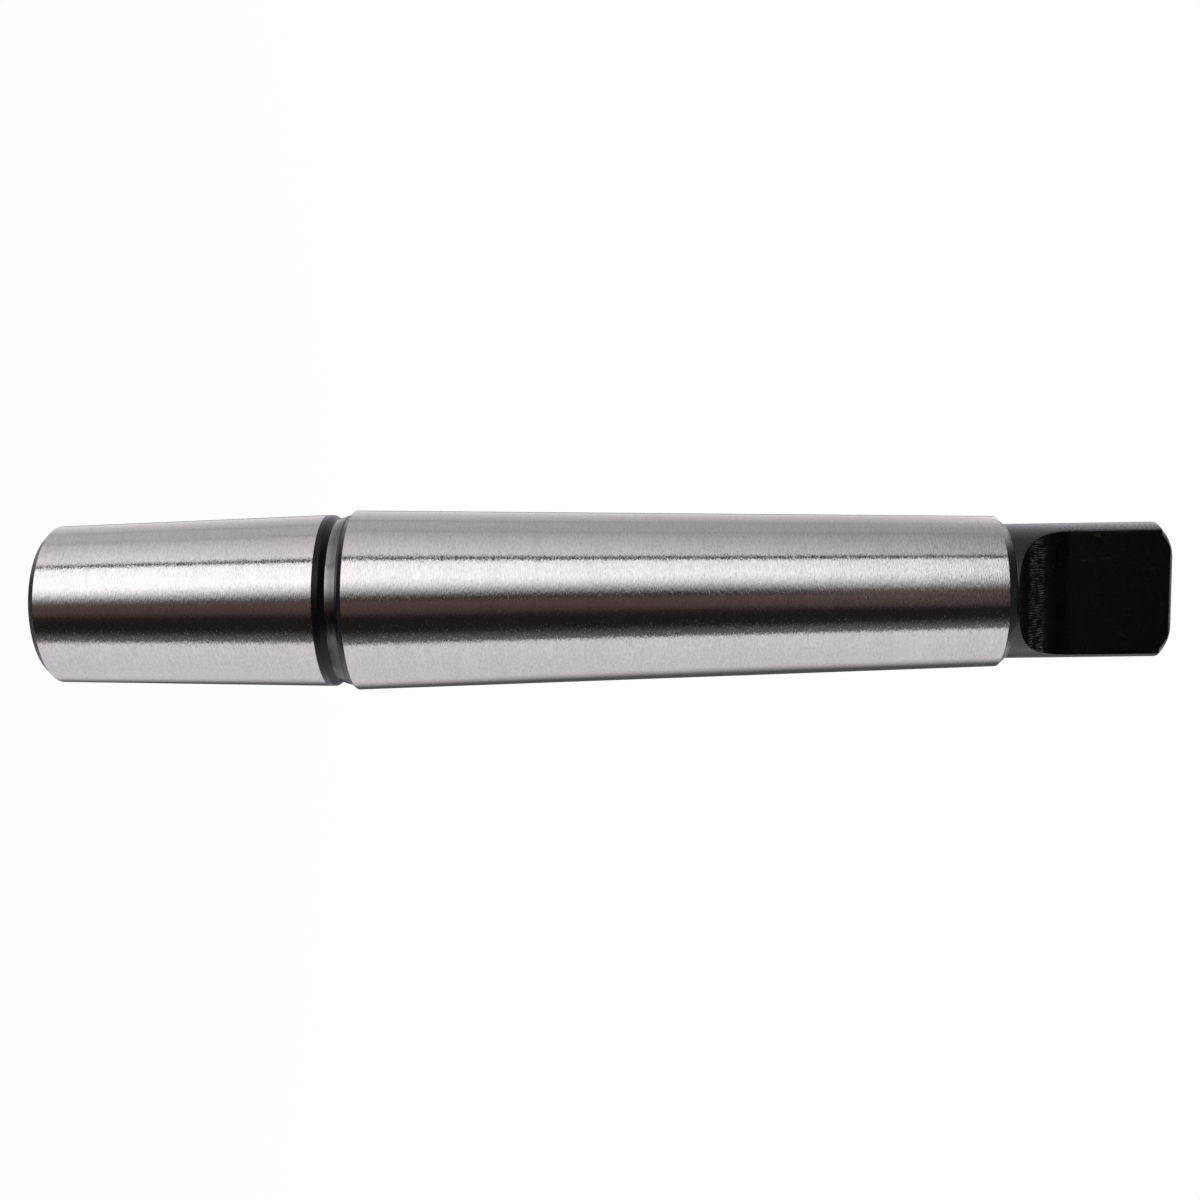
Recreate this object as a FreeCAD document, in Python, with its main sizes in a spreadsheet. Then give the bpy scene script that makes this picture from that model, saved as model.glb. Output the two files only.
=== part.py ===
"""Drill chuck arbor, turned, milled and ground from one bar.

The arbor stands on its nose: z = 0 is the nose end face and +Z runs along the axis to the tang. From the
bottom up it has the short taper that carries the chuck, a relief groove, the long tapered shank that seats in
the spindle, a reduced neck and a tang with two milled flats that face -Y and +Y. Both ends keep the centres
on which the tapers were ground. Lengths are in millimetres and angles in degrees.
"""

import FreeCAD, Part
import math
import os

import Sketcher

# Driving sizes. A taper rate is the change of diameter for each millimetre of length.
SIZES = {
    # chuck taper, a number 6 short taper
    "nose_length": 27.9,
    "nose_diameter": 17.17,
    "nose_taper_rate": 0.05189,
    "nose_chamfer": 0.75,
    # relief groove between the two ground tapers, its root this far under the lower of its two edges
    "relief_land": 0.6,
    "relief_fall": 0.58,
    "relief_rise": 1.02,
    "relief_margin": 0.2,
    "relief_depth": 0.315,
    "relief_lip_round": 0.3,
    "relief_root_round": 0.2,
    # spindle taper, a number 2 self-holding shank
    "shank_length": 63.5,
    "shank_diameter": 18.0,
    "shank_taper_rate": 0.04995,
    "shank_chamfer": 0.5,
    # neck and tang, the neck a step under the small end of the taper so that it clears the socket
    "neck_step": 0.8,
    "neck_bevel": 0.85,
    "neck_root_round": 0.2,
    "tang_reach": 16.6,
    "tang_crown_radius": 3.75,
    "tang_crown_depth": 1.15,
    "tang_thickness": 5.2,
    "tang_flat_length": 9.6,
    "tang_cutter_radius": 6.5,
    "tang_edge_round": 0.25,
    # lathe centres: the cone's mouth, its pilot drill and the drilled depth
    "centre_cone_angle": 60.0,
    "centre_point_angle": 118.0,
    "nose_centre_mouth": 6.7,
    "nose_centre_drill": 3.15,
    "nose_centre_depth": 6.5,
    "tang_centre_mouth": 4.25,
    "tang_centre_drill": 2.0,
    "tang_centre_depth": 4.5,
    # how far a cutting outline passes the outside of the stock
    "overcut": 2.0,
}

# Radii and heights that follow from the driving sizes.
STATIONS = {
    "nose_radius": "nose_diameter / 2",
    "nose_tip_radius": "nose_radius - (nose_length - nose_chamfer) * nose_taper_rate / 2",
    "nose_face_radius": "nose_tip_radius - nose_chamfer",
    "relief_start": "nose_length + relief_land",
    "relief_root": "relief_start + relief_fall",
    "relief_top": "relief_root + relief_rise",
    "shank_foot": "relief_top + relief_margin",
    "shank_start": "shank_foot + shank_chamfer",
    "shank_top": "shank_foot + shank_length",
    "shank_radius": "shank_diameter / 2",
    "shank_top_radius": "shank_radius - shank_length * shank_taper_rate / 2",
    "shoulder_radius": "shank_radius - shank_chamfer",
    "relief_root_radius": "min(nose_radius; shoulder_radius) - relief_depth",
    "clear_radius": "max(nose_radius; shank_radius) + overcut",
    "neck_radius": "shank_top_radius - neck_step",
    "neck_start": "shank_top + neck_bevel",
    "overall_length": "shank_top + tang_reach",
    "crown_start": "overall_length - tang_crown_depth",
    "crown_centre": "overall_length - tang_crown_radius",
    "crown_spread": "sqrt(tang_crown_radius ^ 2 - (tang_crown_radius - tang_crown_depth) ^ 2)",
    "end_face_radius": "neck_radius - crown_spread",
    "flat_offset": "tang_thickness / 2",
    "flat_foot": "overall_length - tang_flat_length",
    "cutter_side": "flat_offset + tang_cutter_radius",
    "cutter_low": "flat_foot - tang_cutter_radius",
    "above_tang": "overall_length + overcut",
}

# Which way a centre hole is drilled from its end face.
NOSE_CENTRE = {"name": "nose_centre", "face": None, "inward": "+"}
TANG_CENTRE = {"name": "tang_centre", "face": "overall_length", "inward": "-"}

# Two lengths that differ by less than this are the same.
TOUCH = 1e-4


def centre_stations(centre):
    """Returns the radii and heights of one centre hole, as formulas by name."""
    name, face, inward = centre["name"], centre["face"] or "0", centre["inward"]
    cone = "(%s_mouth - %s_drill) / 2 / tan(centre_cone_angle / 2)" % (name, name)
    point = "%s_drill / 2 / tan(centre_point_angle / 2)" % name
    return {
        name + "_mouth_radius": name + "_mouth / 2",
        name + "_drill_radius": name + "_drill / 2",
        name + "_cone_end": "%s %s %s" % (face, inward, cone),
        name + "_drill_end": "%s %s %s_depth" % (face, inward, name),
        name + "_point": "%s_drill_end %s %s" % (name, inward, point),
    }


def fill_sheet(doc):
    """Writes the driving sizes as plain numbers, then the stations as formulas, and returns the sheet."""
    sheet = doc.addObject("Spreadsheet::Sheet", "Sizes")
    stations = {**STATIONS, **centre_stations(NOSE_CENTRE), **centre_stations(TANG_CENTRE)}
    contents = {name: str(value) for name, value in SIZES.items()}
    contents.update({name: "=" + formula for name, formula in stations.items()})
    for row, (name, content) in enumerate(contents.items(), start=1):
        sheet.set("A%d" % row, name)
        sheet.set("B%d" % row, content)
        sheet.setAlias("B%d" % row, name)
    doc.recompute()
    return sheet


def origin_part(body, role):
    """Returns the plane or axis of the body's own origin that has this role."""
    return next(item for item in body.Origin.OriginFeatures if item.Role == role)


def draw_outline(body, sheet, name, plane, corners, arcs=None):
    """Draws a closed outline on an origin plane of the body and ties it to the sheet.

    Each corner is a pair of sheet names, its distance across from the axis and its height, or None where
    that is zero. Runs between corners are straight. An arc is given by the number of the corner at which it
    starts, with the sheet names of its radius and of its centre, and turns counter-clockwise.
    """
    arcs = arcs or {}
    sketch = body.newObject("Sketcher::SketchObject", name)
    sketch.AttachmentSupport = [(origin_part(body, plane), "")]
    sketch.MapMode = "FlatFace"

    def place(pair):
        return FreeCAD.Vector(*(getattr(sheet, item) if item else 0.0 for item in pair), 0)

    def tie(kind, run, end, item):
        point = sketch.getPoint(run, end)
        value = point.x if kind == "DistanceX" else point.y
        number = sketch.addConstraint(Sketcher.Constraint(kind, -1, 1, run, end, value))
        sketch.setExpression("Constraints[%d]" % number, "Sizes." + item)

    count = len(corners)
    for index, corner in enumerate(corners):
        start, end = place(corner), place(corners[(index + 1) % count])
        if index not in arcs:
            sketch.addGeometry(Part.LineSegment(start, end), False)
            continue
        radius, centre = arcs[index]
        hub = place(centre)
        angles = [math.atan2(point.y - hub.y, point.x - hub.x) for point in (start, end)]
        if angles[1] <= angles[0]:
            angles[1] += 2 * math.pi
        circle = Part.Circle(hub, FreeCAD.Vector(0, 0, 1), getattr(sheet, radius))
        sketch.addGeometry(Part.ArcOfCircle(circle, *angles), False)

    for run in range(count):
        sketch.addConstraint(Sketcher.Constraint("Coincident", run, 2, (run + 1) % count, 1))
    for run, (across, up) in enumerate(corners):
        if across is None:
            sketch.addConstraint(Sketcher.Constraint("PointOnObject", run, 1, -2))
        else:
            tie("DistanceX", run, 1, across)
        if up is None:
            sketch.addConstraint(Sketcher.Constraint("PointOnObject", run, 1, -1))
        else:
            tie("DistanceY", run, 1, up)
    for run, (radius, _) in arcs.items():
        number = sketch.addConstraint(Sketcher.Constraint("Radius", run, getattr(sheet, radius)))
        sketch.setExpression("Constraints[%d]" % number, "Sizes." + radius)
    return sketch


def turn_blank(body, sheet):
    """Turns the whole outside: both tapers, the neck and the crowned end of the tang."""
    corners = [
        (None, None),
        ("nose_face_radius", None),
        ("nose_tip_radius", "nose_chamfer"),
        ("nose_radius", "nose_length"),
        ("nose_radius", "shank_foot"),
        ("shank_radius", "shank_foot"),
        ("shank_top_radius", "shank_top"),
        ("neck_radius", "neck_start"),
        ("neck_radius", "crown_start"),
        ("end_face_radius", "overall_length"),
        (None, "overall_length"),
    ]
    crown_start = corners.index(("neck_radius", "crown_start"))
    arcs = {crown_start: ("tang_crown_radius", ("end_face_radius", "crown_centre"))}
    sketch = draw_outline(body, sheet, "TurnedProfile", "XZ_Plane", corners, arcs)
    blank = body.newObject("PartDesign::Revolution", "TurnedBlank")
    blank.Profile = sketch
    blank.ReferenceAxis = (sketch, ["V_Axis"])
    blank.Angle = 360
    return blank


def turn_away(body, name, sketch):
    """Cuts a profile out of the body all the way round the axis."""
    groove = body.newObject("PartDesign::Groove", name)
    groove.Profile = sketch
    groove.ReferenceAxis = (sketch, ["V_Axis"])
    groove.Angle = 360
    return groove


def cut_relief(body, sheet):
    """Cuts the groove that parts the tapers, with its sloping floor and the chamfer of the shank's big end."""
    corners = [
        ("clear_radius", "relief_start"),
        ("nose_radius", "relief_start"),
        ("relief_root_radius", "relief_root"),
        ("shoulder_radius", "relief_top"),
        ("shoulder_radius", "shank_foot"),
        ("shank_radius", "shank_start"),
        ("clear_radius", "shank_start"),
    ]
    return turn_away(body, "Relief", draw_outline(body, sheet, "ReliefProfile", "XZ_Plane", corners))


def mill_flats(body, sheet):
    """Mills one tang flat, which runs out along the cutter's own radius, and mirrors it across the axis."""
    corners = [
        ("flat_offset", "above_tang"),
        ("flat_offset", "flat_foot"),
        ("cutter_side", "cutter_low"),
        ("cutter_side", "above_tang"),
    ]
    run_out_start = corners.index(("flat_offset", "flat_foot"))
    arcs = {run_out_start: ("tang_cutter_radius", ("cutter_side", "flat_foot"))}
    flat = body.newObject("PartDesign::Pocket", "TangFlat")
    flat.Profile = draw_outline(body, sheet, "TangFlatProfile", "YZ_Plane", corners, arcs)
    flat.Type = "ThroughAll"
    flat.SideType = "Symmetric"
    flats = body.newObject("PartDesign::Mirrored", "TangFlats")
    flats.Originals = [flat]
    flats.MirrorPlane = (origin_part(body, "XZ_Plane"), [""])
    body.Tip = flats
    return flats


def drill_centre(body, sheet, centre):
    """Drills the pilot and its cone into one end, on the axis."""
    name = centre["name"]
    corners = [
        (None, centre["face"]),
        (name + "_mouth_radius", centre["face"]),
        (name + "_drill_radius", name + "_cone_end"),
        (name + "_drill_radius", name + "_drill_end"),
        (None, name + "_point"),
    ]
    title = name.title().replace("_", "")
    return turn_away(body, title, draw_outline(body, sheet, title + "Profile", "XZ_Plane", corners))


def edges_where(shape, test):
    """Returns the names of the shape's edges that pass the test."""
    return ["Edge%d" % number for number, edge in enumerate(shape.Edges, start=1) if test(edge)]


def is_ring(edge, radius, height):
    """Says whether an edge is a circle of this radius about the axis, at this height."""
    curve = edge.Curve
    if not isinstance(curve, Part.Circle):
        return False
    return abs(curve.Radius - radius) < TOUCH and abs(curve.Center.z - height) < TOUCH


def round_edges(body, name, radius, test):
    """Rounds the edges of the body's tip that pass the test, with a radius from the sheet."""
    base = body.Tip
    rounding = body.newObject("PartDesign::Fillet", name)
    rounding.Base = (base, edges_where(base.Shape, test))
    rounding.setExpression("Radius", "Sizes." + radius)
    return rounding


def tang_end_edge(sheet):
    """Returns the test for the edges where the flats meet the end face and its crown."""
    def test(edge):
        middle = edge.valueAt((edge.FirstParameter + edge.LastParameter) / 2)
        points = [vertex.Point for vertex in edge.Vertexes] + [middle]
        on_flat = all(abs(abs(point.y) - sheet.flat_offset) < TOUCH for point in points)
        at_end = all(point.z > sheet.crown_start - TOUCH for point in points)
        return on_flat and at_end
    return test


def build_arbor(doc, sheet):
    """Makes the arbor in the order of its shop operations and returns its body."""
    body = doc.addObject("PartDesign::Body", "Arbor")
    body.Label = "chuck_arbor"
    body.Placement = FreeCAD.Placement()

    def cut(feature, *inputs):
        before = body.Shape.Volume
        made = feature(body, sheet, *inputs)
        doc.recompute()
        if not 0 < body.Shape.Volume < before:
            raise SystemExit("%s removes nothing from the stock" % made.Name)

    turn_blank(body, sheet)
    doc.recompute()
    cut(cut_relief)
    for name, radius, ring in (
        ("ReliefLip", "relief_lip_round", (sheet.nose_radius, sheet.relief_start)),
        ("ReliefRoot", "relief_root_round", (sheet.relief_root_radius, sheet.relief_root)),
        ("NeckRoot", "neck_root_round", (sheet.neck_radius, sheet.neck_start)),
    ):
        round_edges(body, name, radius, lambda edge, ring=ring: is_ring(edge, *ring))
        doc.recompute()
    cut(mill_flats)
    cut(drill_centre, NOSE_CENTRE)
    cut(drill_centre, TANG_CENTRE)
    round_edges(body, "TangEdges", "tang_edge_round", tang_end_edge(sheet))
    doc.recompute()
    return body


def check_features(doc):
    """Stops at a feature that could not be worked out."""
    failed = [item.Name for item in doc.Objects if {"Invalid", "Error"} & set(item.State)]
    if failed:
        raise SystemExit("these failed: " + ", ".join(failed))


def check(doc, body):
    """Stops before anything is written if a feature failed or the body is not one sound solid."""
    check_features(doc)
    sketches = doc.findObjects("Sketcher::SketchObject")
    loose = [sketch.Name for sketch in sketches if not sketch.FullyConstrained]
    if loose:
        raise SystemExit("these outlines are not fully constrained: " + ", ".join(loose))
    shape = body.Shape
    if shape.isNull() or not shape.isValid() or len(shape.Solids) != 1:
        raise SystemExit("%s is not one valid solid" % body.Label)


def main():
    doc = FreeCAD.newDocument("ChuckArbor")
    sheet = fill_sheet(doc)
    body = build_arbor(doc, sheet)
    check(doc, body)
    os.makedirs("parts", exist_ok=True)
    body.Shape.exportStep("parts/%s.step" % body.Label)
    box = body.Shape.optimalBoundingBox(False, False)
    print("%s: %.2f x %.2f x %.2f mm, %.1f mm3" % (
        body.Label, box.XLength, box.YLength, box.ZLength, body.Shape.Volume))


main()
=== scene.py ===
"""Dresses the drill chuck arbor and sets it in a pale studio.

The arbor is one piece of steel: a ground taper for the chuck, a relief groove, a ground taper for the
spindle, and a blackened neck and tang with two milled flats. Its outline is traced here again, finely,
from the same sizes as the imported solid, and stands in that solid's place. The arbor's sizes are in
millimetres until its mesh is made. The mesh and the studio are in metres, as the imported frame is.
"""

import logging
import math
from dataclasses import dataclass, field
from enum import Enum

import bmesh
import bpy
from mathutils import Matrix, Quaternion, Vector

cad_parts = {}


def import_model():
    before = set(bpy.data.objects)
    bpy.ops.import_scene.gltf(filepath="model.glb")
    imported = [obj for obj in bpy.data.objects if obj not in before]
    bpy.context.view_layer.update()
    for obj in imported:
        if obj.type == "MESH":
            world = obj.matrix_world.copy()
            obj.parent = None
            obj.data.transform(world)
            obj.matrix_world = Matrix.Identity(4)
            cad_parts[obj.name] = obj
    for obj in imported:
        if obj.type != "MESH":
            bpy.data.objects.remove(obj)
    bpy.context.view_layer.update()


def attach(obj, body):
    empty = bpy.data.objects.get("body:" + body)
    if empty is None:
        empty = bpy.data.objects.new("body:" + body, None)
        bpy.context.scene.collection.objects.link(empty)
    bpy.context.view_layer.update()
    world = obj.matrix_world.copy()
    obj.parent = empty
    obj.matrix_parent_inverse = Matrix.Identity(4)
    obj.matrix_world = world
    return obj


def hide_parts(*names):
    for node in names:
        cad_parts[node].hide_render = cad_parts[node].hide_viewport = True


LOG = logging.getLogger("chuck_arbor")
MILLIMETRE = 0.001
MIX_COLOUR_INPUTS = (6, 7)
MIX_COLOUR_OUTPUT = 2

Socket = bpy.types.NodeSocket
Vert = bmesh.types.BMVert
Point = tuple[float, float]
Colour = tuple[float, float, float]


class Finish(Enum):
    """The surface finishes of the arbor, numbered as the material slots of its mesh."""

    GROUND = 0
    BURNISHED = 1
    BLACK_TURNED = 2
    BLACK_MILLED = 3
    BLACK_GROOVE = 4


class CutMarks(Enum):
    """Which way a cutting tool left its marks."""

    ROUND_THE_AXIS = "turned"
    ALONG_THE_AXIS = "milled"


def smooth_step(share: float) -> float:
    """Returns a share between nought and one, eased at both ends."""
    held = min(max(share, 0.0), 1.0)
    return held * held * (3 - 2 * held)


def held_between(value: float, ends: Point) -> float:
    """Returns a value that goes no further than the two ends, the lower one first."""
    return min(max(value, ends[0]), ends[1])


def in_metres(lengths: Point) -> Point:
    """Returns two lengths in metres, given in millimetres."""
    return lengths[0] * MILLIMETRE, lengths[1] * MILLIMETRE


def shifted(value: float, steps: Point) -> Point:
    """Returns a value moved by each of two steps."""
    return value + steps[0], value + steps[1]


@dataclass(frozen=True)
class Grain:
    """A noise: the size of its grains along each axis in millimetres, and its layers of finer grain."""

    size: tuple[float, float, float]
    detail: float = 2.0
    roughness: float = 0.5


class ShaderSheet:
    """Wires up the nodes of one material."""

    def __init__(self, name: str) -> None:
        """Starts an empty material.

        Args:
            name: The material's name.
        """
        self.material = bpy.data.materials.new(name)
        self.material.use_nodes = True
        self.tree = self.material.node_tree
        self.tree.nodes.clear()

    def node(self, kind: str, **inputs: object) -> bpy.types.Node:
        """Adds a node and fills its inputs.

        Args:
            kind: Blender's name of the node type.
            **inputs: A value or an output socket for each named input, spaces written as underscores.

        Returns:
            The new node.
        """
        made = self.tree.nodes.new(kind)
        for name, value in inputs.items():
            self.feed(made.inputs[name.replace("_", " ")], value)
        return made

    def feed(self, target: Socket, value: object) -> None:
        """Links a socket to an input, or sets the input's own value.

        Args:
            target: The input.
            value: An output socket, a number or a tuple of numbers.
        """
        if isinstance(value, Socket):
            self.tree.links.new(value, target)
        else:
            target.default_value = value

    def math(self, operation: str, *values: object, clamp: bool = False) -> Socket:
        """Adds a maths node.

        Args:
            operation: Blender's name of the operation.
            *values: Its inputs, numbers or sockets.
            clamp: Whether the result stays between nought and one.

        Returns:
            The socket of the result.
        """
        made = self.tree.nodes.new("ShaderNodeMath")
        made.operation = operation
        made.use_clamp = clamp
        for target, value in zip(made.inputs, values):
            self.feed(target, value)
        return made.outputs[0]

    def weigh(self, *layers: tuple[Socket, float]) -> Socket:
        """Adds up some layers.

        Args:
            *layers: Each layer and the share of it that counts.

        Returns:
            The sum.
        """
        total: Socket | None = None
        for layer, share in layers:
            part = self.math("MULTIPLY", layer, share)
            total = part if total is None else self.math("ADD", total, part)
        return total

    def place(self) -> Socket:
        """Returns the place on the object, in metres in its own frame."""
        return self.node("ShaderNodeTexCoord").outputs["Object"]

    def noise(self, place: Socket, grain: Grain) -> Socket:
        """Adds a noise.

        Args:
            place: The place in metres.
            grain: Its grains.

        Returns:
            The noise, about 0.25 to 0.75.
        """
        scaled = self.tree.nodes.new("ShaderNodeVectorMath")
        scaled.operation = "MULTIPLY"
        self.feed(scaled.inputs[0], place)
        self.feed(scaled.inputs[1], tuple(1.0 / (size * MILLIMETRE) for size in grain.size))
        made = self.node(
            "ShaderNodeTexNoise",
            Vector=scaled.outputs[0],
            Scale=1.0,
            Detail=grain.detail,
            Roughness=grain.roughness,
        )
        return made.outputs[0]

    def spread(
        self, value: Socket, source: Point, target: Point = (0.0, 1.0), smooth: bool = False
    ) -> Socket:
        """Maps a range of values to another range, held at its ends.

        Args:
            value: The value to map.
            source: The range it comes from.
            target: The range it goes to.
            smooth: Whether it eases in and out.

        Returns:
            The mapped value.
        """
        made = self.tree.nodes.new("ShaderNodeMapRange")
        made.interpolation_type = "SMOOTHSTEP" if smooth else "LINEAR"
        self.feed(made.inputs["Value"], value)
        for name, number in zip(("From Min", "From Max", "To Min", "To Max"), (*source, *target)):
            made.inputs[name].default_value = number
        return made.outputs[0]

    def blend(self, share: object, first: object, second: object) -> Socket:
        """Mixes two colours.

        Args:
            share: How much of the second colour shows.
            first: The first colour, a socket or a tuple.
            second: The second colour.

        Returns:
            The mixed colour.
        """
        made = self.tree.nodes.new("ShaderNodeMix")
        made.data_type = "RGBA"
        self.feed(made.inputs["Factor"], share)
        for index, value in zip(MIX_COLOUR_INPUTS, (first, second)):
            self.feed(made.inputs[index], (*value, 1.0) if isinstance(value, tuple) else value)
        return made.outputs[MIX_COLOUR_OUTPUT]

    def bump(self, height: Socket, depth: float, under: Socket | None = None) -> Socket:
        """Raises the surface by a height between nought and one.

        Args:
            height: The height.
            depth: What a height of one is, in millimetres.
            under: The normal that it adds to, if any.

        Returns:
            The new normal.
        """
        made = self.node("ShaderNodeBump", Strength=1.0, Height=height, Distance=depth * MILLIMETRE)
        if under is not None:
            self.feed(made.inputs["Normal"], under)
        return made.outputs[0]

    def attribute(self, name: str, output: str = "Fac") -> Socket:
        """Reads what the mesh holds at each of its points.

        Args:
            name: The name it is held under.
            output: Fac for a number, Color for a colour.

        Returns:
            The number or the colour.
        """
        made = self.tree.nodes.new("ShaderNodeAttribute")
        made.attribute_name = name
        return made.outputs[output]

    def finish(self, shader: Socket) -> bpy.types.Material:
        """Sends the shader to the surface and returns the material."""
        self.node("ShaderNodeOutputMaterial", Surface=shader)
        return self.material


@dataclass(frozen=True)
class GroundSteel:
    """Steel ground between centres: fine scratches round the axis, with facets and pits between."""

    colour: Colour = (0.63, 0.595, 0.622)
    dull_colour: Colour = (0.49, 0.463, 0.484)
    colour_range: Point = (0.36, 0.64)
    roughness: float = 0.146
    roughness_spread: float = 0.1
    roughness_range: Point = (0.35, 0.65)
    anisotropy: float = 0.7
    quarter_turn: float = 0.25
    scratch: Grain = Grain((0.4, 0.4, 0.11), 1.0)
    scratch_depth: float = 0.0115
    line: Grain = Grain((2.2, 2.2, 0.13), 3.0, 0.65)
    line_depth: float = 0.0014
    line_share: float = 0.3
    wheel_pass: Grain = Grain((60.0, 60.0, 3.2))
    wheel_pass_share: float = 0.15
    facet: Grain = Grain((0.42, 0.42, 0.12), 1.5, 0.6)
    facet_share: float = 0.55
    pit: Grain = Grain((0.24, 0.24, 0.14), 1.0)
    pit_range: Point = (0.56, 0.69)
    pit_roughness: float = 0.17

    def material(self) -> bpy.types.Material:
        """Builds the material.

        Returns:
            The ground steel.
        """
        sheet = ShaderSheet("ground_steel")
        place = sheet.place()
        scratch = sheet.noise(place, self.scratch)
        line = sheet.noise(place, self.line)
        wheel_pass = sheet.noise(place, self.wheel_pass)
        normal = sheet.bump(line, self.line_depth, sheet.bump(scratch, self.scratch_depth))
        facet = sheet.noise(place, self.facet)
        mottle = sheet.weigh(
            (line, self.line_share),
            (wheel_pass, self.wheel_pass_share),
            (facet, self.facet_share),
        )
        half_spread = self.roughness_spread / 2
        dull_to_bright = (self.roughness + half_spread, self.roughness - half_spread)
        pit = sheet.spread(sheet.noise(place, self.pit), self.pit_range, (0.0, self.pit_roughness))
        shine = sheet.spread(mottle, self.colour_range)
        roughness = sheet.spread(mottle, self.roughness_range, dull_to_bright)
        shader = sheet.node(
            "ShaderNodeBsdfPrincipled",
            Base_Color=sheet.blend(shine, self.dull_colour, self.colour),
            Metallic=1.0,
            Roughness=sheet.math("ADD", roughness, pit),
            Anisotropic=self.anisotropy,
            Anisotropic_Rotation=self.quarter_turn,
            Normal=normal,
        )
        round_axis = sheet.tree.nodes.new("ShaderNodeTangent")
        round_axis.direction_type = "RADIAL"
        round_axis.axis = "Z"
        sheet.feed(shader.inputs["Tangent"], round_axis.outputs[0])
        return sheet.finish(shader.outputs[0])


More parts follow.
